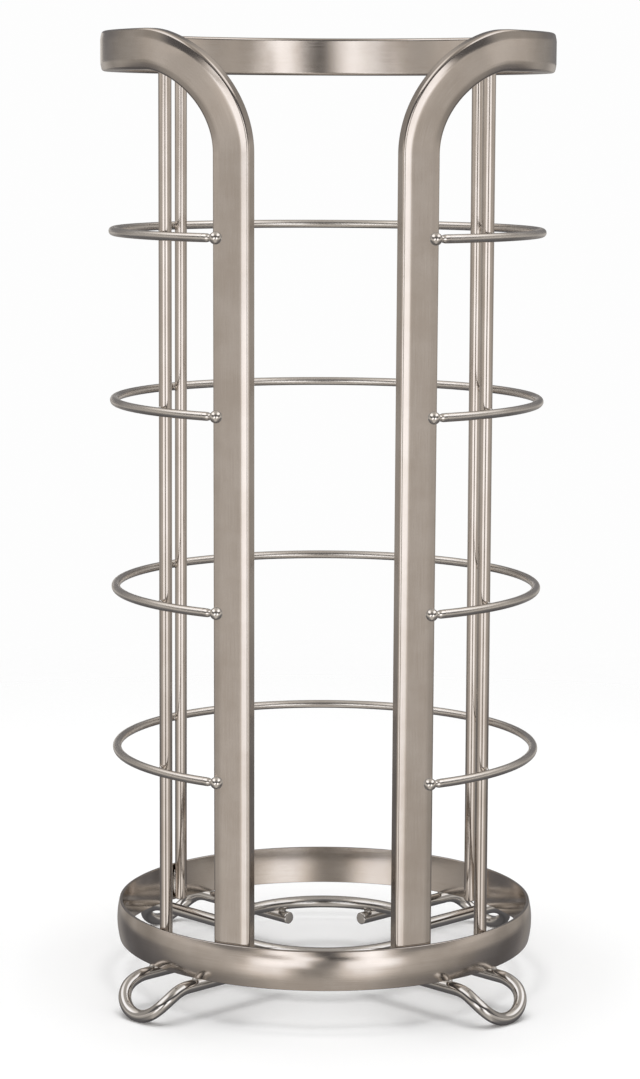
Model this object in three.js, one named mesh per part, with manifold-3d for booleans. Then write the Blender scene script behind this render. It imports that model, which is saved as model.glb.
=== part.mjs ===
// Freestanding toilet paper holder: an open round cage of satin nickel bar, strip and wire.
// Millimetres, +Z up, the front faces -Y. The origin is on the floor, under the middle of the outline.
import * as THREE from 'three';
import { mergeVertices } from 'three/addons/utils/BufferGeometryUtils.js';
import Module from 'manifold-3d';

const wasm = await Module();
wasm.setup();

// Overall sizes
const overallHeight = 378.4;
const railOuterRadius = 89.2;
const hoopOuterRadius = 84.2;
const hoopLift = 15.9;

// The bar that makes both front legs and the top rail
const barThickness = 6;
const barWidth = 15.4;
const barBevelBreadth = 1.9;
const barBevelTilt = THREE.MathUtils.degToRad(12);
const barOuterEdgeRadius = 1.3;
const barInnerEdgeRadius = 1.2;
const shoulderRadius = 38.5;
const legAzimuth = THREE.MathUtils.degToRad(25.6);
const shoulderSpreadShare = 0.85;

// The strip rolled into the base hoop, with an outer face that swells by the crown
const hoopThickness = 2.2;
const hoopHeight = 15.6;
const hoopCrown = 0.9;
const hoopEdgeRadius = 0.4;

// Upright rods, a pair in front and a pair behind
const rodDiameter = 5;
const rodFootAzimuth = THREE.MathUtils.degToRad(50.8);
const rodHeadAzimuth = THREE.MathUtils.degToRad(49.2);
const rodHeadInset = 4;

// Guard wires, with their levels as shares of the height between hoop and rail
const guardWireDiameter = 3.4;
const guardLevelShares = [0.19, 0.387, 0.612, 0.813];

// Ball ends
const ballDiameter = 4.8;
const ballInset = 2.8;

// Foot wires, which run in under the hoop, and the ring that lies on them
const footWireDiameter = 5;
const footWireSpacing = 25.2;
const footCurlRadius = 15.5;
const footCurlReach = 1.6;
const footSoleDepth = 0.4;
const footWireOverlap = 4;
const floorRingRadius = 40;
const footAzimuth = THREE.MathUtils.degToRad(45);

// Clearances
const seatGap = 0.3;
const endInset = 0.8;
const cutOverrun = 5;

// Smoothness of the curved pieces, as counts
const edgeSteps = 3;
const hoopFaceSteps = 4;
const shoulderSteps = 14;
const railSideSteps = 6;
const railQuarterSteps = 15;
const hoopSteps = 60;
const rodSides = 16;
const wireSides = 8;
const guardSteps = 46;
const footSteps = 38;
const ringSteps = 40;
const ballSteps = 5;
const ballSides = 12;

// Sizes that follow from the ones above
const rodRadius = rodDiameter / 2;
const guardWireRadius = guardWireDiameter / 2;
const footWireRadius = footWireDiameter / 2;
const ballRadius = ballDiameter / 2;
const barEdgeBreadth = barBevelBreadth + barOuterEdgeRadius * (1 - Math.sin(barBevelTilt));
const railMiddle = overallHeight - barWidth / 2;
const railUnderside = overallHeight - barWidth;
const railCentreRadius = railOuterRadius - barThickness / 2;
const railInnerRadius = railOuterRadius - barThickness;
const hoopInnerRadius = hoopOuterRadius - hoopThickness;
const hoopTop = hoopLift + hoopHeight;
const hoopMiddle = hoopLift + hoopHeight / 2;
const shoulderStart = railMiddle - shoulderRadius;
const footWireHeight = hoopLift - seatGap - footWireRadius;

const satinNickel = { color: 0xb0a598, roughness: 0.34, metalness: 1 };
const polishedNickel = { color: 0xbcb2a6, roughness: 0.22, metalness: 1 };

// The cage leans out from inside the hoop to inside the rail: the radius of its outermost surface
function cageRadius(z) {
  const share = (z - hoopMiddle) / (railMiddle - hoopMiddle);
  return THREE.MathUtils.lerp(hoopInnerRadius - seatGap, railInnerRadius - seatGap, share);
}

// A point on a circle round the cage, with azimuth 0 at the front and growing to the right
function around(radius, azimuth, z) {
  return new THREE.Vector3(radius * Math.sin(azimuth), -radius * Math.cos(azimuth), z);
}

// A geometry with its doubled corners joined and its faces turned outwards
function closedBody(geometry) {
  const bare = geometry.index ? geometry.clone() : geometry;
  for (const name of Object.keys(bare.attributes)) {
    if (name !== 'position') bare.deleteAttribute(name);
  }
  const body = mergeVertices(bare, 1e-4);
  const place = body.attributes.position;
  const corner = (k) => new THREE.Vector3().fromBufferAttribute(place, body.index.getX(k));
  const solidIndex = [];
  let volume = 0;
  for (let k = 0; k < body.index.count; k += 3) {
    const [a, b, c] = [k, k + 1, k + 2].map((n) => body.index.getX(n));
    if (a === b || b === c || c === a) continue;
    volume += corner(k).dot(corner(k + 1).cross(corner(k + 2)));
    solidIndex.push(a, b, c);
  }
  if (volume < 0) {
    for (let k = 0; k < solidIndex.length; k += 3) {
      [solidIndex[k], solidIndex[k + 1]] = [solidIndex[k + 1], solidIndex[k]];
    }
  }
  body.setIndex(solidIndex);
  body.computeVertexNormals();
  return body;
}

function namedMesh(name, geometry, finish) {
  const mesh = new THREE.Mesh(geometry, new THREE.MeshStandardMaterial(finish));
  mesh.name = name;
  return mesh;
}

// Points along a round edge about its centre, from one angle to another
function edgePoints(x, y, radius, start, stop) {
  const points = [];
  for (let k = 0; k <= edgeSteps; k += 1) {
    const angle = THREE.MathUtils.lerp(start, stop, k / edgeSteps);
    points.push(new THREE.Vector2(x + radius * Math.cos(angle), y + radius * Math.sin(angle)));
  }
  return points;
}

// A whole section from its upper half, which runs from the outer face over the top to the inside
function withLowerHalf(upper) {
  const lower = upper.map(({ x, y }) => new THREE.Vector2(x, -y)).reverse();
  return [...upper, ...lower];
}

// A closed skin over rings of points, flat at its first and last ring
function skinOver(rings, outline) {
  const sides = outline.length;
  const positions = rings.flat().flatMap((point) => point.toArray());
  const index = [];
  for (let r = 0; r < rings.length - 1; r += 1) {
    for (let k = 0; k < sides; k += 1) {
      const a = r * sides + k;
      const b = r * sides + (k + 1) % sides;
      index.push(a, b, b + sides, a, b + sides, a + sides);
    }
  }
  const last = (rings.length - 1) * sides;
  for (const [a, b, c] of THREE.ShapeUtils.triangulateShape(outline, [])) {
    index.push(c, b, a, last + a, last + b, last + c);
  }
  const geometry = new THREE.BufferGeometry();
  geometry.setAttribute('position', new THREE.Float32BufferAttribute(positions, 3));
  geometry.setIndex(index);
  return closedBody(geometry);
}

// A round wire along a curve
function wireAlong(curve, radius, steps) {
  const corners = [];
  for (let k = 0; k < wireSides; k += 1) {
    const angle = 2 * Math.PI * k / wireSides;
    corners.push(new THREE.Vector2(radius * Math.cos(angle), radius * Math.sin(angle)));
  }
  const settings = { extrudePath: curve, steps, bevelEnabled: false };
  return closedBody(new THREE.ExtrudeGeometry(new THREE.Shape(corners), settings));
}

// A profile of radius and height, turned round the Z axis
function turned(profile, segments) {
  return closedBody(new THREE.LatheGeometry(profile, segments).rotateX(Math.PI / 2));
}

function toSolid(geometry) {
  return new wasm.Manifold(new wasm.Mesh({
    numProp: 3,
    vertProperties: new Float32Array(geometry.attributes.position.array),
    triVerts: new Uint32Array(geometry.index.array),
  }));
}

function toGeometry(solid) {
  const mesh = solid.getMesh();
  const geometry = new THREE.BufferGeometry();
  geometry.setAttribute('position', new THREE.Float32BufferAttribute(mesh.vertProperties, 3));
  geometry.setIndex([...mesh.triVerts]);
  return closedBody(geometry);
}

// The bar's centre line on one side, for the right leg and the right half of the rail
function legFaceRadius(z) {
  const halfFlat = barWidth / 2 - barEdgeBreadth;
  return Math.sqrt(cageRadius(z) ** 2 - halfFlat ** 2);
}

function legPoint(z) {
  return around(legFaceRadius(z) - barThickness / 2, legAzimuth, z);
}

function shoulderPoint(share) {
  const turn = share * Math.PI / 2;
  const z = shoulderStart + shoulderRadius * Math.sin(turn);
  const spread = THREE.MathUtils.smoothstep(share, 0, shoulderSpreadShare);
  const legRadius = legFaceRadius(z) - barThickness / 2;
  const radius = THREE.MathUtils.lerp(legRadius, railCentreRadius, spread);
  const azimuth = legAzimuth + shoulderRadius * (1 - Math.cos(turn)) / railCentreRadius;
  return around(radius, azimuth, z);
}

function barStations() {
  const stations = [legPoint(hoopLift + endInset)];
  for (let k = 0; k <= shoulderSteps; k += 1) {
    stations.push(shoulderPoint(k / shoulderSteps));
  }
  const railStart = legAzimuth + shoulderRadius / railCentreRadius;
  const azimuths = [];
  for (let k = 1; k <= railSideSteps; k += 1) {
    azimuths.push(THREE.MathUtils.lerp(railStart, Math.PI / 2, k / railSideSteps));
  }
  for (let k = 1; k <= railQuarterSteps; k += 1) {
    azimuths.push(Math.PI / 2 * (1 + k / railQuarterSteps));
  }
  for (const azimuth of azimuths) {
    stations.push(around(railCentreRadius, azimuth, railMiddle));
  }
  const otherSide = stations.slice(0, -1).reverse().map((point) => (
    new THREE.Vector3(-point.x, point.y, point.z)
  ));
  return [...stations, ...otherSide];
}

// The bar's section: a flat outer face with a slight bevel along both its edges, and round corners
function barOutline() {
  const halfDepth = barThickness / 2;
  const halfWidth = barWidth / 2;
  const bevelFall = barBevelBreadth * Math.tan(barBevelTilt);
  const edgeCentre = halfDepth - bevelFall - barOuterEdgeRadius * Math.cos(barBevelTilt);
  return withLowerHalf([
    new THREE.Vector2(halfDepth, halfWidth - barEdgeBreadth),
    ...edgePoints(
      edgeCentre, halfWidth - barOuterEdgeRadius, barOuterEdgeRadius, barBevelTilt, Math.PI / 2,
    ),
    ...edgePoints(
      barInnerEdgeRadius - halfDepth, halfWidth - barInnerEdgeRadius, barInnerEdgeRadius,
      Math.PI / 2, Math.PI,
    ),
  ]);
}

// One section of the bar, square to its run and with its wide face outwards
function barSection(stations, k) {
  const point = stations[k];
  const before = stations[Math.max(k - 1, 0)];
  const after = stations[Math.min(k + 1, stations.length - 1)];
  const run = after.clone().sub(before).normalize();
  const outward = new THREE.Vector3(point.x, point.y, 0).normalize();
  outward.addScaledVector(run, -outward.dot(run)).normalize();
  const across = new THREE.Vector3().crossVectors(run, outward);
  return barOutline().map(({ x, y }) => (
    point.clone().addScaledVector(outward, x).addScaledVector(across, y)
  ));
}

function legAndRailBar() {
  const stations = barStations();
  const rings = stations.map((_, k) => barSection(stations, k));
  return skinOver(rings, barOutline());
}

// The strip's section: an outer face that swells by the crown, small round edges and a flat inside
function hoopOutline() {
  const halfDepth = hoopThickness / 2;
  const flank = hoopHeight / 2 - hoopEdgeRadius;
  const face = [];
  for (let k = 0; k < hoopFaceSteps; k += 1) {
    const share = k / hoopFaceSteps;
    face.push(new THREE.Vector2(halfDepth - hoopCrown * share ** 2, flank * share));
  }
  const edgeCentre = halfDepth - hoopCrown - hoopEdgeRadius;
  return withLowerHalf([
    ...face,
    ...edgePoints(edgeCentre, flank, hoopEdgeRadius, 0, Math.PI / 2),
    ...edgePoints(hoopEdgeRadius - halfDepth, flank, hoopEdgeRadius, Math.PI / 2, Math.PI),
  ]);
}

function baseHoop() {
  const middle = new THREE.Vector2(hoopOuterRadius - hoopThickness / 2, hoopMiddle);
  const profile = hoopOutline().map((point) => point.add(middle));
  return turned([...profile, profile[0].clone()], hoopSteps);
}

// A straight rod from inside the hoop to inside the rail
function uprightRod(name, side, facing) {
  const footHeight = hoopLift + endInset;
  const headHeight = overallHeight - rodHeadInset;
  const foot = around(cageRadius(footHeight) - rodRadius, rodFootAzimuth, footHeight);
  const head = around(cageRadius(headHeight) - rodRadius, rodHeadAzimuth, headHeight);
  for (const end of [foot, head]) {
    end.x *= side;
    end.y *= facing;
  }
  const run = head.clone().sub(foot);
  const geometry = new THREE.CylinderGeometry(rodRadius, rodRadius, run.length(), rodSides);
  const rod = namedMesh(name, closedBody(geometry), satinNickel);
  rod.position.copy(foot).add(head).multiplyScalar(0.5);
  rod.quaternion.setFromUnitVectors(new THREE.Vector3(0, 1, 0), run.normalize());
  return rod;
}

// The open circle of a guard wire, which stops short of its two ball ends
class GuardWireCurve extends THREE.Curve {
  constructor(radius, endAzimuth, z) {
    super();
    Object.assign(this, { radius, endAzimuth, z });
  }

  getPoint(share, target = new THREE.Vector3()) {
    const azimuth = THREE.MathUtils.lerp(this.endAzimuth, 2 * Math.PI - this.endAzimuth, share);
    return target.copy(around(this.radius, azimuth, this.z));
  }
}

const guardLevels = guardLevelShares.map((share) => (
  THREE.MathUtils.lerp(hoopTop, railUnderside, share)
));

function guardRadius(z) {
  return cageRadius(z) + seatGap + guardWireRadius;
}

function ballAzimuth(z) {
  return legAzimuth + (barWidth / 2 - ballInset) / guardRadius(z);
}

function guardWire(z) {
  const endAzimuth = ballAzimuth(z) + (ballRadius + seatGap) / guardRadius(z);
  return wireAlong(new GuardWireCurve(guardRadius(z), endAzimuth, z), guardWireRadius, guardSteps);
}

// A ball with a flat on the side that faces the leg
function ballEnd(name, z, side) {
  const place = around(guardRadius(z), ballAzimuth(z), z);
  const legFacing = around(1, legAzimuth, 0);
  const flat = place.dot(legFacing) - legFaceRadius(z) - seatGap;
  const flatHalfAngle = Math.acos(Math.min(flat / ballRadius, 1));
  const profile = [new THREE.Vector2(0, -Math.min(flat, ballRadius))];
  for (let k = 0; k <= ballSteps; k += 1) {
    const angle = THREE.MathUtils.lerp(flatHalfAngle, Math.PI, k / ballSteps);
    profile.push(new THREE.Vector2(ballRadius * Math.sin(angle), -ballRadius * Math.cos(angle)));
  }
  profile[profile.length - 1].x = 0;
  const ball = namedMesh(name, turned(profile, ballSides), polishedNickel);
  ball.position.set(side * place.x, place.y, place.z);
  legFacing.x *= side;
  ball.quaternion.setFromUnitVectors(new THREE.Vector3(0, 0, 1), legFacing);
  return ball;
}

// The run of a foot wire, from its end by the floor ring, out under the hoop, down in a curl and back
class FootCurve extends THREE.Curve {
  constructor() {
    super();
    this.half = footWireSpacing / 2;
    this.curlStart = hoopOuterRadius + footCurlReach;
    const drop = footWireHeight - (footWireRadius - footSoleDepth);
    this.curlLength = footCurlRadius * Math.acos(1 - drop / footCurlRadius);
    this.inner = floorRingRadius - footWireRadius - footWireOverlap;
    this.straight = this.curlStart + this.curlLength - this.half - this.inner;
    this.total = 2 * this.straight + Math.PI * this.half;
  }

  getPoint(share, target = new THREE.Vector3()) {
    const along = share * this.total;
    let out = this.inner + Math.min(along, this.total - along);
    let across = along < this.total / 2 ? this.half : -this.half;
    if (along > this.straight && along < this.total - this.straight) {
      const turn = (along - this.straight) / this.half;
      out = this.inner + this.straight + this.half * Math.sin(turn);
      across = this.half * Math.cos(turn);
    }
    const curl = Math.max(out - this.curlStart, 0) / footCurlRadius;
    const reach = Math.min(out, this.curlStart) + footCurlRadius * Math.sin(curl);
    const z = footWireHeight - footCurlRadius * (1 - Math.cos(curl));
    return target.set(across, -reach, z);
  }
}

function footWire() {
  const wire = toSolid(wireAlong(new FootCurve(), footWireRadius, footSteps));
  const below = footSoleDepth + cutOverrun;
  const span = railOuterRadius + hoopOuterRadius;
  const floor = new THREE.BoxGeometry(span, span, below);
  floor.translate(0, -hoopOuterRadius, -below / 2);
  return toGeometry(wire.subtract(toSolid(closedBody(floor))));
}

function floorRing() {
  const z = footWireHeight + footWireRadius + seatGap + footWireRadius;
  const ring = new THREE.TorusGeometry(floorRingRadius, footWireRadius, wireSides, ringSteps);
  return closedBody(ring).translate(0, 0, z);
}

// The group stands so that the origin is under the middle of the outline, which the rail widens at the back
const holder = new THREE.Group();
holder.position.y = (hoopOuterRadius - railOuterRadius) / 2;
holder.add(namedMesh('leg_and_rail_bar', legAndRailBar(), satinNickel));
holder.add(namedMesh('base_hoop', baseHoop(), satinNickel));
holder.add(namedMesh('floor_ring', floorRing(), satinNickel));

const sides = [['left', -1], ['right', 1]];
const facings = [['front', 1], ['rear', -1]];
for (const [facingName, facing] of facings) {
  for (const [sideName, side] of sides) {
    holder.add(uprightRod(`${facingName}_${sideName}_rod`, side, facing));
    const foot = namedMesh(`${facingName}_${sideName}_foot_wire`, footWire(), satinNickel);
    foot.rotation.z = side * (facing > 0 ? footAzimuth : Math.PI - footAzimuth);
    holder.add(foot);
  }
}

guardLevels.forEach((z, k) => {
  holder.add(namedMesh(`guard_wire_${k + 1}`, guardWire(z), satinNickel));
  for (const [sideName, side] of sides) {
    holder.add(ballEnd(`guard_wire_${k + 1}_${sideName}_ball`, z, side));
  }
});

export default holder;
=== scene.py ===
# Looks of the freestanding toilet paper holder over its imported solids.
# Metres, +Z up, the front faces -Y.
import math

import bmesh
import bpy
from mathutils import Matrix, Vector, noise


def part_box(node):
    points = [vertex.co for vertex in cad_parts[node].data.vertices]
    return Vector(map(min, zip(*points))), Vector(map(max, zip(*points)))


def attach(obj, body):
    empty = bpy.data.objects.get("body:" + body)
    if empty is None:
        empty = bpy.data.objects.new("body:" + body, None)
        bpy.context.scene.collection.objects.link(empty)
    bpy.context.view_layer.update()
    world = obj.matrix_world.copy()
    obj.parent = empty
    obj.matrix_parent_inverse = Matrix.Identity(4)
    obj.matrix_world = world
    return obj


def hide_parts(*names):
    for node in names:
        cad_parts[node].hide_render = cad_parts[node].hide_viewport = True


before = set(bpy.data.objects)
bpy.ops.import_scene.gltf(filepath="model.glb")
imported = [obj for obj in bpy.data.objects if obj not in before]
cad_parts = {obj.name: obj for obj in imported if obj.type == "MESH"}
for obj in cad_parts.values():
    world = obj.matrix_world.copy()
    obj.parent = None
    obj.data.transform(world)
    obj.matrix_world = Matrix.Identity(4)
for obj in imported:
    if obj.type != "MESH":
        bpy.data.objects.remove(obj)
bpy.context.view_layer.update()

MM = 0.001

# The bar that makes both front legs, the shoulders and the top rail
BAR_THICKNESS = 6 * MM
BAR_WIDTH = 15.4 * MM
BAR_BEVEL = 1.9 * MM
BAR_BEVEL_TILT = math.radians(12)
BAR_BEVEL_EASE = 0.4 * MM
BAR_OUTER_EDGE = 1.3 * MM
BAR_INNER_EDGE = 1.2 * MM
BAR_EDGE_BREADTH = BAR_BEVEL + BAR_OUTER_EDGE * (1 - math.sin(BAR_BEVEL_TILT))
LEG_AZIMUTH = math.radians(25.6)
SHOULDER_RADIUS = 38.5 * MM
SHOULDER_FALL = 0.4 * MM

# Shares of the shoulder's bend, 0 at the leg and 1 at the level rail: where the bar has come out
# to the rail's circle, and where the fall of its wide face grows and fades
SPREAD_SHARE = 0.85
FALL_GROWS = (0.02, 0.3)
FALL_FADES = (0.7, 1.15)

# The strip of the base hoop
HOOP_THICKNESS = 2.2 * MM
HOOP_CROWN = 0.9 * MM
HOOP_EDGE = 0.4 * MM

# Rods and wires. The chamfer of a cut end is a share of the radius long, and leaves an end of a
# share of the section's size
ROD_RADIUS = 2.5 * MM
ROD_FOOT_AZIMUTH = math.radians(50.8)
ROD_HEAD_AZIMUTH = math.radians(49.2)
ROD_HEAD_INSET = 4 * MM
GUARD_WIRE_RADIUS = 1.7 * MM
FOOT_WIRE_RADIUS = 2.5 * MM
FOOT_WIRE_SPACING = 25.2 * MM
FOOT_CURL_RADIUS = 15.5 * MM
FOOT_CURL_REACH = 1.6 * MM
FOOT_SOLE_DEPTH = 0.4 * MM
FOOT_WIRE_OVERLAP = 4 * MM
FOOT_AZIMUTH = math.radians(45)
SEAT_GAP = 0.3 * MM
END_INSET = 0.8 * MM
CUT_END_CHAMFER = 0.18
CUT_END_SIZE = 0.84

# The balls, and the neck of each as (radius, height) from the ball's middle, in ball radii. The
# neck runs into the ball at an angle from its axis, and the guard wire ends inside the neck
BALL_RADIUS = 2.4 * MM
BALL_INSET = 2.8 * MM
NECK_SHAPE = ((0, -2.35), (0.66, -2.33), (0.7, -2.2), (0.7, -1.6), (0.67, -1.4), (0.6, -1.2),
              (0.55, -1.02))
NECK_ANGLE = math.radians(34)
NECK_WIRE_END = 2.0

# Weld lumps: half sizes along their own outward, side and up, how far those of rods and legs lie
# inside and beside them, and how uneven they are
WIRE_WELD = (0.8 * MM, 1.3 * MM, 1.9 * MM)
ROD_FOOT_WELD = (0.8 * MM, 0.9 * MM, 5.5 * MM)
ROD_HEAD_WELD = (0.8 * MM, 0.9 * MM, 4.5 * MM)
LEG_WELD = (1.1 * MM, 1.0 * MM, 6.2 * MM)
FOOT_WELD = (1.0 * MM, 1.2 * MM, 0.6 * MM)
RING_WELD = (1.5 * MM, 1.5 * MM, 0.8 * MM)
ROD_WELD_INSET = 0.6 * MM
ROD_WELD_ASIDE = 1.7 * MM
LEG_WELD_INSET = 1.0 * MM
WELD_UNEVENNESS = 0.16
WELD_BUMPS = 1.9
WELD_VARIETY = 700

# How finely the meshes are cut
LEG_STEPS = 40
SHOULDER_STEPS = 48
RAIL_HALF_STEPS = 110
ROD_SIDES = 32
WIRE_SIDES = 24
SHARP_EDGE = math.radians(50)

# Places that the solids give
HOOP_LOW, HOOP_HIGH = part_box("base_hoop")
RING_LOW, RING_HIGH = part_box("floor_ring")
RAIL_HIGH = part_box("leg_and_rail_bar")[1]
AXIS_Y = (HOOP_LOW.y + HOOP_HIGH.y) / 2
HOOP_RADIUS = HOOP_HIGH.x
HOOP_INNER_RADIUS = HOOP_RADIUS - HOOP_THICKNESS
HOOP_MIDDLE = (HOOP_LOW.z + HOOP_HIGH.z) / 2
RAIL_RADIUS = RAIL_HIGH.x
RAIL_CENTRE_RADIUS = RAIL_RADIUS - BAR_THICKNESS / 2
RAIL_INNER_RADIUS = RAIL_RADIUS - BAR_THICKNESS
RAIL_MIDDLE = RAIL_HIGH.z - BAR_WIDTH / 2
SHOULDER_START = RAIL_MIDDLE - SHOULDER_RADIUS
RING_RADIUS = RING_HIGH.x - FOOT_WIRE_RADIUS
FOOT_WIRE_HEIGHT = HOOP_LOW.z - SEAT_GAP - FOOT_WIRE_RADIUS

# Guard wires from the lowest up, the sides, and the corners, with 1 for the front and the right
GUARD_LEVELS = (1, 2, 3, 4)
SIDES = (("left", -1), ("right", 1))
CORNERS = (("front_left", 1, -1), ("front_right", 1, 1),
           ("rear_left", -1, -1), ("rear_right", -1, 1))


def mix(low, high, share):
    return low + (high - low) * share


def soft_step(value, low, high):
    """0 below low, 1 above high, with a soft change between."""
    part = min(max((value - low) / (high - low), 0), 1)
    return part * part * (3 - 2 * part)


def around(radius, azimuth, z):
    """A point on a circle round the cage, azimuth 0 at the front and growing to the right."""
    return Vector((radius * math.sin(azimuth), AXIS_Y - radius * math.cos(azimuth), z))


def outward_at(azimuth):
    return Vector((math.sin(azimuth), -math.cos(azimuth), 0))


def cage_radius(z):
    """Radius of the cage's outermost surface, from inside the hoop to inside the rail."""
    share = (z - HOOP_MIDDLE) / (RAIL_MIDDLE - HOOP_MIDDLE)
    return mix(HOOP_INNER_RADIUS, RAIL_INNER_RADIUS, share) - SEAT_GAP


# The camera, at the photograph's place
CAMERA_DISTANCE = 1.2024
CAMERA_PITCH = math.radians(7.97)
CAMERA_TURN = math.radians(0.5)
CAMERA_ROLL = math.radians(0.26)
AIM_HEIGHT = 0.178
AIM_ASIDE = math.radians(0.1165)
IMAGE_HEIGHT = 1079
FOCAL_LENGTH_IN_PIXELS = 3000


def make_camera():
    data = bpy.data.cameras.new("camera")
    data.lens = data.sensor_width * FOCAL_LENGTH_IN_PIXELS / IMAGE_HEIGHT
    camera = bpy.data.objects.new("camera", data)
    bpy.context.scene.collection.objects.link(camera)
    back = outward_at(CAMERA_TURN) * math.cos(CAMERA_PITCH) + Vector((0, 0, math.sin(CAMERA_PITCH)))
    camera.location = Vector((0, AXIS_Y, AIM_HEIGHT)) + back * CAMERA_DISTANCE
    heading = Matrix.Rotation(CAMERA_TURN + AIM_ASIDE, 3, "Z")
    tilt = Matrix.Rotation(math.pi / 2 - CAMERA_PITCH, 3, "X")
    roll = Matrix.Rotation(CAMERA_ROLL, 3, "Z")
    camera.rotation_euler = (heading @ tilt @ roll).to_euler()
    bpy.context.scene.camera = camera


class Signal:
    """An output of a shader node that plain expressions work on."""

    def __init__(self, tree, node, output=0):
        self.tree = tree
        self.node = node
        self.socket = node.outputs[output] if node.outputs else None

    def __getitem__(self, output):
        return Signal(self.tree, self.node, output)

    def __add__(self, other):
        return maths(self.tree, "ADD", self, other)

    def __radd__(self, other):
        return maths(self.tree, "ADD", other, self)

    def __sub__(self, other):
        return maths(self.tree, "SUBTRACT", self, other)

    def __rsub__(self, other):
        return maths(self.tree, "SUBTRACT", other, self)

    def __mul__(self, other):
        return maths(self.tree, "MULTIPLY", self, other)

    def __rmul__(self, other):
        return maths(self.tree, "MULTIPLY", other, self)


def add_node(tree, kind, settings=None, inputs=None):
    """Adds a node, sets its settings, then fills or links its sockets."""
    node = tree.nodes.new(kind)
    for name, value in (settings or {}).items():
        if name == "stops":
            set_stops(node.color_ramp, value)
        else:
            setattr(node, name, value)
    for name, value in (inputs or {}).items():
        if isinstance(value, Signal):
            tree.links.new(value.socket, node.inputs[name])
        else:
            node.inputs[name].default_value = value
    return Signal(tree, node)


def set_stops(ramp, stops):
    while len(ramp.elements) < len(stops):
        ramp.elements.new(0.5)
    for element, (place, colour) in zip(ramp.elements, stops):
        element.position = place
        element.color = colour


def maths(tree, operation, first, second=0.0):
    return add_node(tree, "ShaderNodeMath", {"operation": operation}, {0: first, 1: second})


def smooth_step(signal, low, high):
    """0 below low, 1 above high, with a soft change between."""
    inputs = {"Value": signal, "From Min": low, "From Max": high}
    return add_node(signal.tree, "ShaderNodeMapRange", {"interpolation_type": "SMOOTHSTEP"}, inputs)


def mix_colours(tree, share, first, second):
    """Colour sockets 6 and 7 of a Mix node, and its colour output."""
    settings = {"data_type": "RGBA"}
    return add_node(tree, "ShaderNodeMix", settings, {0: share, 6: first, 7: second})[2]


def mix_shaders(tree, share, first, second):
    return add_node(tree, "ShaderNodeMixShader", None, {0: share, 1: first, 2: second})


# Nickel plate, each with the colours of its deep and its pale places: satin on the bar, hoop and
# rods, paler on the guard wires and balls, bright on the foot wires, floor ring and welds
SATIN_NICKEL = ((0.53, 0.47, 0.415, 1), (0.615, 0.56, 0.508, 1))
WIRE_NICKEL = ((0.7, 0.65, 0.595, 1), (0.81, 0.77, 0.72, 1))
BRIGHT_NICKEL = ((0.565, 0.538, 0.505, 1), (0.68, 0.655, 0.625, 1))

# The plate's grain, clouds and handled places: how many to the metre, the grain's along and across
# its run, the noise between which the colour turns pale or a place is handled, and their shares in
# colour, height and roughness
GRAIN_STRETCH = (60, 4200, 1)
CLOUD_SCALE = 70
HANDLED_SCALE = 22
PALE_FROM = (0.3, 0.7)
HANDLED_FROM = (0.52, 0.7)
NOISE_MEAN = 0.5
GRAIN_IN_COLOUR = 0.35
GRAIN_IN_HEIGHT = 0.7
GRAIN_IN_ROUGHNESS = 0.1
CLOUDS_IN_ROUGHNESS = 0.06
HANDLED_IN_ROUGHNESS = 0.035
GRAIN_DEPTH = 0.02 * MM


def nickel(name, plate, roughness, grain_lift):
    """Plated steel with fine grain along its run, cloudy patches and softly handled places."""
    material = bpy.data.materials.new(name)
    material.use_nodes = True
    tree = material.node_tree
    tree.nodes.clear()
    run = add_node(tree, "ShaderNodeUVMap", {"uv_map": "run"})
    place = add_node(tree, "ShaderNodeTexCoord")["Object"]
    drawn = add_node(tree, "ShaderNodeVectorMath", {"operation": "MULTIPLY"},
                     {0: run, 1: GRAIN_STRETCH})
    grain = add_node(tree, "ShaderNodeTexNoise", {"noise_dimensions": "2D"},
                     {"Vector": drawn, "Scale": 1, "Detail": 3, "Roughness": 0.6})
    clouds = add_node(tree, "ShaderNodeTexNoise", None,
                      {"Vector": place, "Scale": CLOUD_SCALE, "Detail": 4, "Roughness": 0.55})
    patches = add_node(tree, "ShaderNodeTexNoise", None,
                       {"Vector": place, "Scale": HANDLED_SCALE, "Detail": 2, "Roughness": 0.5})
    handled = smooth_step(patches, *HANDLED_FROM)
    tone = GRAIN_IN_COLOUR * grain + (1 - GRAIN_IN_COLOUR) * clouds
    colour = mix_colours(tree, smooth_step(tone, *PALE_FROM), *plate)
    rough = (roughness + (grain - NOISE_MEAN) * GRAIN_IN_ROUGHNESS
             + (clouds - NOISE_MEAN) * CLOUDS_IN_ROUGHNESS + handled * HANDLED_IN_ROUGHNESS)
    height = GRAIN_IN_HEIGHT * grain + (1 - GRAIN_IN_HEIGHT) * clouds
    bumped = add_node(tree, "ShaderNodeBump", None,
                      {"Strength": grain_lift, "Distance": GRAIN_DEPTH, "Height": height})
    skin = add_node(tree, "ShaderNodeBsdfPrincipled", None,
                    {"Base Color": colour, "Metallic": 1.0, "Roughness": rough, "Normal": bumped})
    add_node(tree, "ShaderNodeOutputMaterial", None, {"Surface": skin})
    return material


def corner_points(centre_x, centre_y, radius, start, stop, steps=9):
    angles = [mix(start, stop, k / steps) for k in range(steps + 1)]
    return [(centre_x + radius * math.cos(a), centre_y + radius * math.sin(a)) for a in angles]


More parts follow.
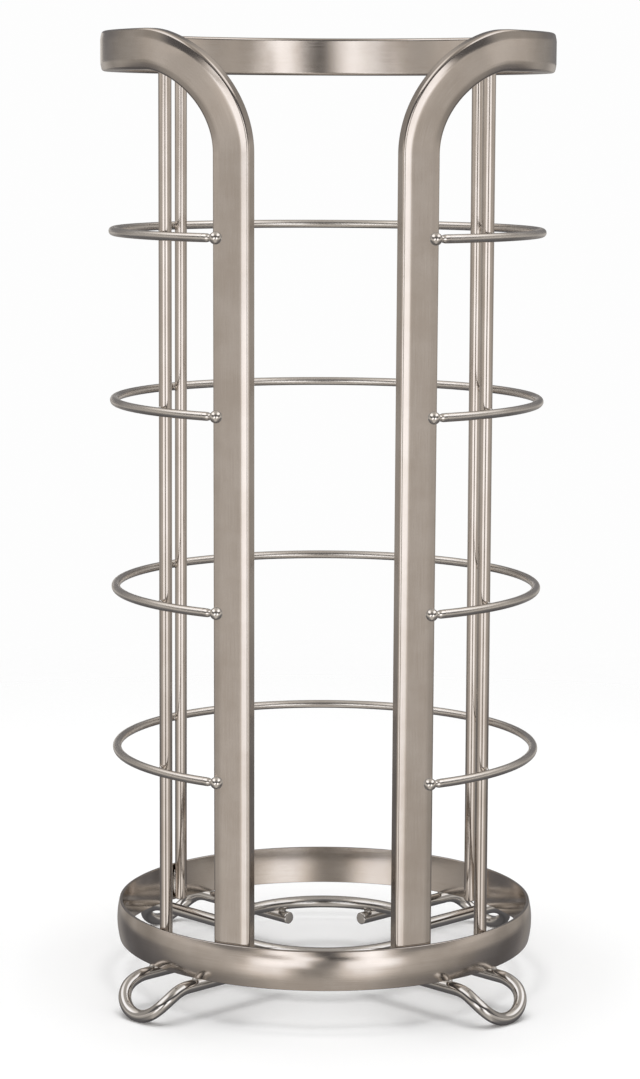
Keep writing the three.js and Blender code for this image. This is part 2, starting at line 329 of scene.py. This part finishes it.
def bar_outline(flat_steps=6):
    """The bar's section: a flat face with a slight bevel along both its edges, round corners."""
    depth, breadth = BAR_THICKNESS / 2, BAR_WIDTH / 2
    bevel_start = breadth - BAR_EDGE_BREADTH
    fall = math.tan(BAR_BEVEL_TILT)
    flat = bevel_start - BAR_BEVEL_EASE
    points = [(depth, flat * (k + 1) / flat_steps) for k in range(flat_steps)]
    points.append((depth - BAR_BEVEL_EASE * fall, bevel_start + BAR_BEVEL_EASE))
    corner_x = depth - BAR_BEVEL * fall - BAR_OUTER_EDGE * math.cos(BAR_BEVEL_TILT)
    points += corner_points(corner_x, breadth - BAR_OUTER_EDGE, BAR_OUTER_EDGE,
                            BAR_BEVEL_TILT, math.pi / 2)
    points += corner_points(BAR_INNER_EDGE - depth, breadth - BAR_INNER_EDGE, BAR_INNER_EDGE,
                            math.pi / 2, math.pi)
    return points + [(x, -y) for x, y in reversed(points)]


def round_outline(radius, sides=WIRE_SIDES):
    angles = [2 * math.pi * k / sides for k in range(sides)]
    return [(radius * math.cos(a), radius * math.sin(a)) for a in angles]


def distances(points, closed):
    """How far along the points each one is, with the way back to the first where closed."""
    ends = points[1:] + points[:1] if closed else points[1:]
    totals = [0.0]
    for before, after in zip(points, ends):
        totals.append(totals[-1] + (Vector(after) - Vector(before)).length)
    return totals


def swept(stations, outline, closed=False):
    """A skin over outlines on stations of (point, outward, upward, size), its run as a UV map."""
    mesh = bmesh.new()
    run = mesh.loops.layers.uv.new("run")
    along = distances([point for point, _, _, _ in stations], closed)
    across = distances(outline, True)
    rings = []
    for point, outward, upward, size in stations:
        ring = [mesh.verts.new(point + (outward * x + upward * y) * size) for x, y in outline]
        rings.append(ring)
    sides = len(outline)
    for r in range(len(rings) - (0 if closed else 1)):
        after = rings[(r + 1) % len(rings)]
        for k in range(sides):
            n = (k + 1) % sides
            face = mesh.faces.new((rings[r][k], rings[r][n], after[n], after[k]))
            marks = ((along[r], across[k]), (along[r], across[k + 1]),
                     (along[r + 1], across[k + 1]), (along[r + 1], across[k]))
            for loop, mark in zip(face.loops, marks):
                loop[run].uv = mark
    if not closed:
        mesh.faces.new(rings[0])
        mesh.faces.new(rings[-1])
    bmesh.ops.recalc_face_normals(mesh, faces=mesh.faces)
    return mesh


def turned(profile, steps=40):
    """A body turned round its own Z axis from a profile of (radius, height), from end to end."""
    mesh = bmesh.new()
    run = mesh.loops.layers.uv.new("run")
    angles = [2 * math.pi * k / steps for k in range(steps)]
    rings = []
    for radius, height in profile:
        if radius == 0:
            rings.append([mesh.verts.new((0, 0, height))] * steps)
        else:
            rings.append([mesh.verts.new((radius * math.cos(a), radius * math.sin(a), height))
                          for a in angles])
    for lower, upper in zip(rings, rings[1:]):
        for k in range(steps):
            n = (k + 1) % steps
            face = mesh.faces.new(dict.fromkeys((lower[k], lower[n], upper[n], upper[k])))
            for loop in face.loops:
                loop[run].uv = (loop.vert.co.x, loop.vert.co.z)
    bmesh.ops.recalc_face_normals(mesh, faces=mesh.faces)
    return mesh


def finished(name, mesh, material, replaced=None):
    """Turns mesh code into a piece of the holder, smooth where it is smooth."""
    data = bpy.data.meshes.new(name)
    mesh.to_mesh(data)
    mesh.free()
    data.shade_smooth()
    data.set_sharp_from_angle(angle=SHARP_EDGE)
    data.materials.append(material)
    piece = bpy.data.objects.new(name, data)
    bpy.context.scene.collection.objects.link(piece)
    weighted = piece.modifiers.new("even_flats", "WEIGHTED_NORMAL")
    weighted.keep_sharp = True
    if replaced:
        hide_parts(replaced)
    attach(piece, "root")
    return piece


def leg_face_radius(z):
    """How far a leg's flat face is from the axis, its edges being at the cage's radius."""
    half_flat = BAR_WIDTH / 2 - BAR_EDGE_BREADTH
    return math.sqrt(cage_radius(z) ** 2 - half_flat ** 2)


def leg_point(z):
    return around(leg_face_radius(z) - BAR_THICKNESS / 2, LEG_AZIMUTH, z)


def shoulder_point(share):
    """The bar's centre on its way from the leg, share 0, to the level rail, share 1."""
    turn = share * math.pi / 2
    z = SHOULDER_START + SHOULDER_RADIUS * math.sin(turn)
    spread = soft_step(share, 0, SPREAD_SHARE)
    radius = mix(leg_face_radius(z) - BAR_THICKNESS / 2, RAIL_CENTRE_RADIUS, spread)
    azimuth = LEG_AZIMUTH + SHOULDER_RADIUS * (1 - math.cos(turn)) / RAIL_CENTRE_RADIUS
    return around(radius, azimuth, z)


def bar_points():
    """Centres from the right leg's foot over the shoulder to the rail's back, then mirrored."""
    foot = HOOP_LOW.z + END_INSET
    points = [leg_point(mix(foot, SHOULDER_START, k / LEG_STEPS)) for k in range(LEG_STEPS)]
    points += [shoulder_point(k / SHOULDER_STEPS) for k in range(SHOULDER_STEPS + 1)]
    rail_start = LEG_AZIMUTH + SHOULDER_RADIUS / RAIL_CENTRE_RADIUS
    for k in range(1, RAIL_HALF_STEPS + 1):
        azimuth = mix(rail_start, math.pi, k / RAIL_HALF_STEPS)
        points.append(around(RAIL_CENTRE_RADIUS, azimuth, RAIL_MIDDLE))
    mirrored = [Vector((-p.x, p.y, p.z)) for p in reversed(points[:-1])]
    return points + mirrored


def bar_stations():
    points = bar_points()
    stations = []
    for k, point in enumerate(points):
        run = (points[min(k + 1, len(points) - 1)] - points[max(k - 1, 0)]).normalized()
        outward = Vector((point.x, point.y - AXIS_Y, 0)).normalized()
        outward = (outward - run * outward.dot(run)).normalized()
        stations.append((point, outward, run.cross(outward), 1))
    return stations


def thin_shoulders(mesh, stations, outline):
    """Lets the wide face fall towards the outside of each bend, as where a bar is bent edgewise."""
    mesh.verts.ensure_lookup_table()
    for r, (_, outward, _, _) in enumerate(stations):
        share = (min(r, len(stations) - 1 - r) - LEG_STEPS) / SHOULDER_STEPS
        fall = SHOULDER_FALL * soft_step(share, *FALL_GROWS) * (1 - soft_step(share, *FALL_FADES))
        for k, (x, y) in enumerate(outline):
            if x > 0 and y < 0:
                mesh.verts[r * len(outline) + k].co -= outward * fall * (2 * y / BAR_WIDTH) ** 2


def make_bar(material):
    stations = bar_stations()
    outline = bar_outline()
    mesh = swept(stations, outline)
    thin_shoulders(mesh, stations, outline)
    bar = finished("leg_and_rail_bar_finished", mesh, material, "leg_and_rail_bar")
    bar.visible_glossy = False


def hoop_outline(face_steps=16, edge_steps=5):
    """The strip's section: an outer face that swells by the crown, round edges, a flat inside."""
    half_depth = HOOP_THICKNESS / 2
    half_height = (HOOP_HIGH.z - HOOP_LOW.z) / 2
    flank = half_height - HOOP_EDGE
    points = []
    for k in range(face_steps + 1):
        share = 2 * k / face_steps - 1
        points.append((half_depth - HOOP_CROWN * share * share, flank * share))
    outer, inner = half_depth - HOOP_CROWN - HOOP_EDGE, HOOP_EDGE - half_depth
    edges = ((outer, flank, 0), (inner, flank, 1), (inner, -flank, 2), (outer, -flank, 3))
    for x, y, quarter in edges:
        for k in range(1, edge_steps):
            angle = (quarter + k / edge_steps) * math.pi / 2
            points.append((x + HOOP_EDGE * math.cos(angle), y + HOOP_EDGE * math.sin(angle)))
    return points


def make_hoop(material, steps=240):
    outline = hoop_outline()
    stations = []
    for k in range(steps):
        azimuth = 2 * math.pi * k / steps
        point = around(HOOP_RADIUS - HOOP_THICKNESS / 2, azimuth, HOOP_MIDDLE)
        stations.append((point, outward_at(azimuth), Vector((0, 0, 1)), 1))
    finished("base_hoop_finished", swept(stations, outline, closed=True), material,
             "base_hoop")


def wire_stations(points, outward, closed=False):
    """Frames along a wire, carried on from the first so that the section doesn't twist."""
    stations = []
    count = len(points)
    for k, point in enumerate(points):
        after = points[(k + 1) % count] if closed else points[min(k + 1, count - 1)]
        before = points[k - 1] if closed else points[max(k - 1, 0)]
        run = (after - before).normalized()
        outward = (outward - run * outward.dot(run)).normalized()
        stations.append((point, outward, run.cross(outward), 1))
    return stations


def with_cut_ends(stations, radius):
    """Adds the small chamfer that a cut and plated wire end has."""
    ends = []
    for k, inner in ((0, 1), (-1, -2)):
        point, outward, upward, _ = stations[k]
        run = (stations[inner][0] - point).normalized()
        chamfered = point + run * radius * CUT_END_CHAMFER
        ends.append(((point, outward, upward, CUT_END_SIZE), (chamfered, outward, upward, 1)))
    return [ends[0][0], ends[0][1]] + stations[1:-1] + [ends[1][1], ends[1][0]]


def rod_ends(facing, side):
    foot_height = HOOP_LOW.z + END_INSET
    head_height = RAIL_HIGH.z - ROD_HEAD_INSET
    foot = around(cage_radius(foot_height) - ROD_RADIUS, ROD_FOOT_AZIMUTH, foot_height)
    head = around(cage_radius(head_height) - ROD_RADIUS, ROD_HEAD_AZIMUTH, head_height)
    return [Vector((side * p.x, AXIS_Y + facing * (p.y - AXIS_Y), p.z)) for p in (foot, head)]


def make_rods(material, steps=30):
    for corner, facing, side in CORNERS:
        foot, head = rod_ends(facing, side)
        points = [foot.lerp(head, k / steps) for k in range(steps + 1)]
        stations = with_cut_ends(wire_stations(points, Vector((1, 0, 0))), ROD_RADIUS)
        mesh = swept(stations, round_outline(ROD_RADIUS, ROD_SIDES))
        finished(f"{corner}_rod_finished", mesh, material, f"{corner}_rod")


def guard_level(level):
    low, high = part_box(f"guard_wire_{level}")
    return (low.z + high.z) / 2


def guard_radius(z):
    return cage_radius(z) + SEAT_GAP + GUARD_WIRE_RADIUS


def ball_azimuth(z):
    return LEG_AZIMUTH + (BAR_WIDTH / 2 - BALL_INSET) / guard_radius(z)


def make_guard_wire(level, material, steps=150):
    z = guard_level(level)
    end = ball_azimuth(z) + NECK_WIRE_END * BALL_RADIUS / guard_radius(z)
    azimuths = [mix(end, 2 * math.pi - end, k / steps) for k in range(steps + 1)]
    points = [around(guard_radius(z), azimuth, z) for azimuth in azimuths]
    mesh = swept(wire_stations(points, outward_at(end)), round_outline(GUARD_WIRE_RADIUS))
    node = f"guard_wire_{level}"
    finished(f"{node}_finished", mesh, material, node)


def ball_profile(steps=24):
    """The ball, and the neck to which its wire narrows just before it."""
    profile = [(radius * BALL_RADIUS, height * BALL_RADIUS) for radius, height in NECK_SHAPE]
    for k in range(steps):
        angle = mix(NECK_ANGLE, math.pi, k / steps)
        profile.append((BALL_RADIUS * math.sin(angle), -BALL_RADIUS * math.cos(angle)))
    return profile + [(0, BALL_RADIUS)]


def make_balls(level, material):
    z = guard_level(level)
    azimuth = ball_azimuth(z)
    reach = leg_face_radius(z)
    for side_name, side in SIDES:
        place = around(guard_radius(z), side * azimuth, z)
        facing = outward_at(side * LEG_AZIMUTH)
        run = Vector((math.cos(azimuth), side * math.sin(azimuth), 0)) * -side
        turn = Vector((0, 0, 1)).rotation_difference(run).to_matrix().to_4x4()
        mesh = turned(ball_profile())
        mesh.transform(Matrix.Translation(place) @ turn)
        for vert in mesh.verts:
            depth = reach - (vert.co - Vector((0, AXIS_Y, 0))).dot(facing)
            vert.co += facing * max(depth, 0)
        node = f"guard_wire_{level}_{side_name}_ball"
        ball = finished(f"{node}_finished", mesh, material, node)
        ball.visible_glossy = False


def foot_points(facing, side, steps=150):
    """Along one foot wire, from its end by the floor ring, out under the hoop, round and back."""
    half = FOOT_WIRE_SPACING / 2
    curl_start = HOOP_RADIUS + FOOT_CURL_REACH
    drop = FOOT_WIRE_HEIGHT - (FOOT_WIRE_RADIUS - FOOT_SOLE_DEPTH)
    curl_length = FOOT_CURL_RADIUS * math.acos(1 - drop / FOOT_CURL_RADIUS)
    inner = RING_RADIUS - FOOT_WIRE_RADIUS - FOOT_WIRE_OVERLAP
    straight = curl_start + curl_length - half - inner
    total = 2 * straight + math.pi * half
    away = outward_at(FOOT_AZIMUTH)
    away = Vector((side * away.x, facing * away.y, 0))
    aside = Vector((-away.y, away.x, 0))
    points = []
    for k in range(steps + 1):
        along = k / steps * total
        out = inner + min(along, total - along)
        across = half if along < total / 2 else -half
        if straight < along < total - straight:
            turn = (along - straight) / half
            out = inner + straight + half * math.sin(turn)
            across = half * math.cos(turn)
        curl = max(out - curl_start, 0) / FOOT_CURL_RADIUS
        reach = min(out, curl_start) + FOOT_CURL_RADIUS * math.sin(curl)
        z = FOOT_WIRE_HEIGHT - FOOT_CURL_RADIUS * (1 - math.cos(curl))
        points.append(away * reach + aside * across + Vector((0, AXIS_Y, z)))
    return points


def make_feet(material):
    for corner, facing, side in CORNERS:
        stations = wire_stations(foot_points(facing, side), Vector((0, 0, 1)))
        mesh = swept(with_cut_ends(stations, FOOT_WIRE_RADIUS), round_outline(FOOT_WIRE_RADIUS))
        for vert in mesh.verts:
            vert.co.z = max(vert.co.z, 0)
        node = f"{corner}_foot_wire"
        finished(f"{node}_finished", mesh, material, node)


def make_floor_ring(material, steps=120):
    z = (RING_LOW.z + RING_HIGH.z) / 2
    points = [around(RING_RADIUS, 2 * math.pi * k / steps, z) for k in range(steps)]
    stations = wire_stations(points, Vector((0, 0, 1)), closed=True)
    mesh = swept(stations, round_outline(FOOT_WIRE_RADIUS), closed=True)
    finished("floor_ring_finished", mesh, material, "floor_ring")


def weld_lumps(name, spots, material):
    """Small lumps of weld metal, each at a place, an azimuth and with its half sizes."""
    mesh = bmesh.new()
    run = mesh.loops.layers.uv.new("run")
    for place, azimuth, half_sizes in spots:
        made = bmesh.ops.create_icosphere(mesh, subdivisions=3, radius=1)["verts"]
        outward = outward_at(azimuth)
        aside = Vector((math.cos(azimuth), math.sin(azimuth), 0))
        for vert in made:
            unevenness = noise.noise(vert.co * WELD_BUMPS + place * WELD_VARIETY)
            lump = vert.co * (1 + WELD_UNEVENNESS * unevenness)
            depth, width, height = (value * half for value, half in zip(lump, half_sizes))
            vert.co = place + outward * depth + aside * width + Vector((0, 0, height))
    for face in mesh.faces:
        for loop in face.loops:
            loop[run].uv = (loop.vert.co.x, loop.vert.co.z)
    finished(name, mesh, material)


def rod_at(z, facing, side):
    """The azimuth and radius of a rod's outermost line at a height."""
    foot, head = rod_ends(facing, side)
    point = foot.lerp(head, (z - foot.z) / (head.z - foot.z))
    azimuth = math.atan2(point.x, AXIS_Y - point.y)
    return azimuth, math.hypot(point.x, point.y - AXIS_Y) + ROD_RADIUS


def make_guard_wire_welds(level, material):
    """Where a guard wire crosses the rods."""
    z = guard_level(level)
    spots = []
    for _, facing, side in CORNERS:
        azimuth, radius = rod_at(z, facing, side)
        spots.append((around(radius, azimuth, z), azimuth, WIRE_WELD))
    weld_lumps(f"guard_wire_{level}_welds", spots, material)


def make_rod_and_leg_welds(material):
    """Along both sides of the rods, at the hoop and the rail, and of the legs at the hoop."""
    spots = []
    for _, facing, side in CORNERS:
        for z, half_sizes in ((HOOP_MIDDLE, ROD_FOOT_WELD), (RAIL_MIDDLE, ROD_HEAD_WELD)):
            azimuth, radius = rod_at(z, facing, side)
            for aside in (-1, 1):
                beside = azimuth + aside * ROD_WELD_ASIDE / radius
                spots.append((around(radius - ROD_WELD_INSET, beside, z), azimuth, half_sizes))
    for _, side in SIDES:
        for aside in (-1, 1):
            azimuth = side * LEG_AZIMUTH + aside * BAR_WIDTH / 2 / HOOP_INNER_RADIUS
            place = around(HOOP_INNER_RADIUS - LEG_WELD_INSET, azimuth, HOOP_MIDDLE)
            spots.append((place, azimuth, LEG_WELD))
    weld_lumps("rod_and_leg_welds", spots, material)


def make_foot_welds(material):
    """Where the foot wires meet the hoop above them, and where the ring lies on them."""
    spots = []
    seats = ((HOOP_RADIUS - HOOP_THICKNESS / 2, HOOP_LOW.z, FOOT_WELD),
             (RING_RADIUS, RING_LOW.z, RING_WELD))
    for radius, z, half_sizes in seats:
        swing = math.asin(FOOT_WIRE_SPACING / 2 / radius)
        for quarter in range(4):
            middle = FOOT_AZIMUTH + quarter * math.pi / 2
            for azimuth in (middle - swing, middle + swing):
                spots.append((around(radius, azimuth, z - SEAT_GAP / 2), middle, half_sizes))
    weld_lumps("foot_wire_welds", spots, material)


# The studio that the metal mirrors, in rings from the lowest up: the floor close by, the floor
# further off, the lights beside the camera, the gap between them with grey walls, the top of the
# lights, the dark above them, the lights at both sides of the roof, the roof's middle. Each has
# the heights of a ray between which it takes over from the ring below, how far it is turned to
# the right, and its light by degrees away from its middle, in shares of STUDIO_STRENGTH
STUDIO_STRENGTH = 1.8
STUDIO_RINGS = (
    (None, None, -3, ((0, 0.3), (25, 0.32), (45, 0.2), (90, 0.09), (180, 0.05))),
    (-0.55, -0.28, -4, ((0, 0.18), (7, 0.2), (12, 0.38), (17, 0.62), (22, 0.76), (32, 0.76),
                        (40, 0.5), (48, 0.36), (54, 0.33), (60, 0.31), (80, 0.23), (100, 0.12),
                        (120, 0.08), (138, 0.1), (152, 0.17), (166, 0.16), (180, 0.12))),
    (-0.22, -0.14, 1.5, ((0, 0.14), (6, 0.18), (12, 0.9), (32, 1.05), (39, 0.8), (44, 0.4),
                         (48, 0.35), (60, 0.33), (84, 0.32), (98, 0.27), (110, 0.2), (120, 0.22),
                         (129, 0.26), (140, 0.18), (154, 0.3), (167, 0.26), (180, 0.14))),
    (-0.015, 0.01, 8, ((0, 0.01), (5, 0.03), (10, 0.5), (14, 0.9), (21, 1.0), (26, 0.66),
                       (31, 0.33), (38, 0.26), (47, 0.36), (60, 0.3), (74, 0.46), (90, 0.44),
                       (108, 0.38), (122, 0.23), (142, 0.16), (155, 0.12), (164, 0.13),
                       (171, 0.4), (180, 0.45))),
    (0.075, 0.1, 2, ((0, 0.04), (5, 0.1), (10, 0.5), (15, 0.9), (24, 1.15), (29, 1.0), (35, 0.5),
                     (42, 0.16), (60, 0.05), (76, 0.08), (92, 0.24), (115, 0.25), (138, 0.14),
                     (160, 0.1), (180, 0.1))),
    (0.17, 0.24, 0, ((0, 0.04), (40, 0.06), (72, 0.07), (92, 0.22), (115, 0.24), (150, 0.12),
                     (180, 0.1))),
    (0.5, 0.6, 0, ((0, 0.12), (28, 0.2), (55, 0.8), (105, 0.8), (135, 0.45), (180, 0.2))),
    (0.86, 0.97, 0, ((0, 0.28), (180, 0.28))),
)

# The tints of the studio's dark, room and lamps, the light from which a place counts as room or
# as lamp, the even light on the floor, and the white that the camera sees
DARK_TINT = (1.0, 0.98, 1.02, 1)
ROOM_TINT = (1.05, 1.0, 0.95, 1)
LAMP_TINT = (0.99, 1.0, 1.045, 1)
NO_TINT = (1, 1, 1, 1)
ROOM_FROM = (0.08, 0.2)
LAMP_FROM = (0.45, 0.9)
SOFT_LIGHT = 0.7
WHITE = 0.985


def light_ring(tree, aside, ahead, turn, ring):
    """The light of one ring for a ray's angle away from the ring's middle, either way round."""
    turned_aside = aside * math.cos(turn) - ahead * math.sin(turn)
    turned_ahead = aside * math.sin(turn) + ahead * math.cos(turn)
    away = maths(tree, "ARCTAN2", maths(tree, "ABSOLUTE", turned_aside), turned_ahead)
    stops = [(degrees / 180, (level, level, level, 1)) for degrees, level in ring]
    colour = add_node(tree, "ShaderNodeValToRGB", {"stops": stops}, {0: away * (1 / math.pi)})
    return add_node(tree, "ShaderNodeRGBToBW", None, {0: colour})


def make_world():
    """White behind the object, an even light on the floor, and the studio's lights in the metal."""
    world = bpy.data.worlds.new("studio")
    bpy.context.scene.world = world
    world.use_nodes = True
    tree = world.node_tree
    tree.nodes.clear()
    ray = add_node(tree, "ShaderNodeTexCoord")["Generated"]
    parts = add_node(tree, "ShaderNodeSeparateXYZ", None, {0: ray})
    lit = None
    for low, high, turn, ring in STUDIO_RINGS:
        level = light_ring(tree, parts["X"], 0 - parts["Y"], math.radians(turn), ring)
        if lit is None:
            lit = level
        else:
            share = smooth_step(parts["Z"], low, high)
            lit = lit * (1 - share) + level * share
    rays = add_node(tree, "ShaderNodeLightPath")
    glossy = rays["Is Glossy Ray"]
    seen = rays["Is Camera Ray"]
    tint = mix_colours(tree, smooth_step(lit, *ROOM_FROM), DARK_TINT, ROOM_TINT)
    tint = mix_colours(tree, smooth_step(lit, *LAMP_FROM), tint, LAMP_TINT)
    colour = mix_colours(tree, glossy, NO_TINT, tint)
    strength = glossy * lit * STUDIO_STRENGTH + (1 - glossy) * SOFT_LIGHT
    strength = strength * (1 - seen) + seen * WHITE
    background = add_node(tree, "ShaderNodeBackground", None, {0: colour, 1: strength})
    add_node(tree, "ShaderNodeOutputWorld", None, {"Surface": background})


FLOOR_COLOUR = (0.97, 0.97, 0.97, 1)
FLOOR_FADE = (0.35, 0.8)
FLOOR_RADIUS = 1.2


def make_floor():
    """A pale floor that fades into the white around it, seen by the camera but not in the metal."""
    material = bpy.data.materials.new("pale_floor")
    material.use_nodes = True
    tree = material.node_tree
    tree.nodes.clear()
    place = add_node(tree, "ShaderNodeTexCoord")["Object"]
    distance = add_node(tree, "ShaderNodeVectorMath", {"operation": "LENGTH"}, {0: place})["Value"]
    pale = add_node(tree, "ShaderNodeBsdfDiffuse", None, {"Color": FLOOR_COLOUR})
    clear = add_node(tree, "ShaderNodeBsdfTransparent")
    mixed = mix_shaders(tree, smooth_step(distance, *FLOOR_FADE), pale, clear)
    add_node(tree, "ShaderNodeOutputMaterial", None, {"Surface": mixed})
    mesh = bmesh.new()
    bmesh.ops.create_circle(mesh, cap_ends=True, radius=FLOOR_RADIUS, segments=96)
    data = bpy.data.meshes.new("floor")
    mesh.to_mesh(data)
    mesh.free()
    data.materials.append(material)
    floor = bpy.data.objects.new("floor", data)
    bpy.context.scene.collection.objects.link(floor)
    floor.visible_glossy = False


ROOF_LAMP_PLACE = (0, -0.1, 1.5)
ROOF_LAMP_SIZE = 1.0
ROOF_LAMP_POWER = 11


def make_roof_lamp():
    """A soft square lamp that looks at the middle of the holder."""
    data = bpy.data.lights.new("roof_lamp", "AREA")
    data.size = ROOF_LAMP_SIZE
    data.energy = ROOF_LAMP_POWER
    lamp = bpy.data.objects.new("roof_lamp", data)
    bpy.context.scene.collection.objects.link(lamp)
    lamp.location = ROOF_LAMP_PLACE
    towards = Vector((0, 0, AIM_HEIGHT)) - lamp.location
    lamp.rotation_euler = towards.to_track_quat("-Z", "Y").to_euler()
    lamp.visible_glossy = False


# Each finish: its plate, its roughness and how much its grain lifts
bar_nickel = nickel("bar_nickel", SATIN_NICKEL, 0.17, 0.08)
hoop_nickel = nickel("hoop_nickel", SATIN_NICKEL, 0.15, 0.08)
rod_nickel = nickel("rod_nickel", SATIN_NICKEL, 0.12, 0.06)
wire_nickel = nickel("wire_nickel", WIRE_NICKEL, 0.25, 0.1)
foot_nickel = nickel("foot_nickel", BRIGHT_NICKEL, 0.07, 0.06)
ball_nickel = nickel("ball_nickel", WIRE_NICKEL, 0.05, 0.04)
weld_nickel = nickel("weld_nickel", BRIGHT_NICKEL, 0.26, 0.6)

make_camera()
make_bar(bar_nickel)
make_hoop(hoop_nickel)
make_rods(rod_nickel)
for guard_wire_level in GUARD_LEVELS:
    make_guard_wire(guard_wire_level, wire_nickel)
    make_balls(guard_wire_level, ball_nickel)
make_feet(foot_nickel)
make_floor_ring(foot_nickel)
for guard_wire_level in GUARD_LEVELS:
    make_guard_wire_welds(guard_wire_level, weld_nickel)
make_rod_and_leg_welds(weld_nickel)
make_foot_welds(weld_nickel)
make_world()
make_floor()
make_roof_lamp()

bpy.context.scene.view_settings.view_transform = "Standard"
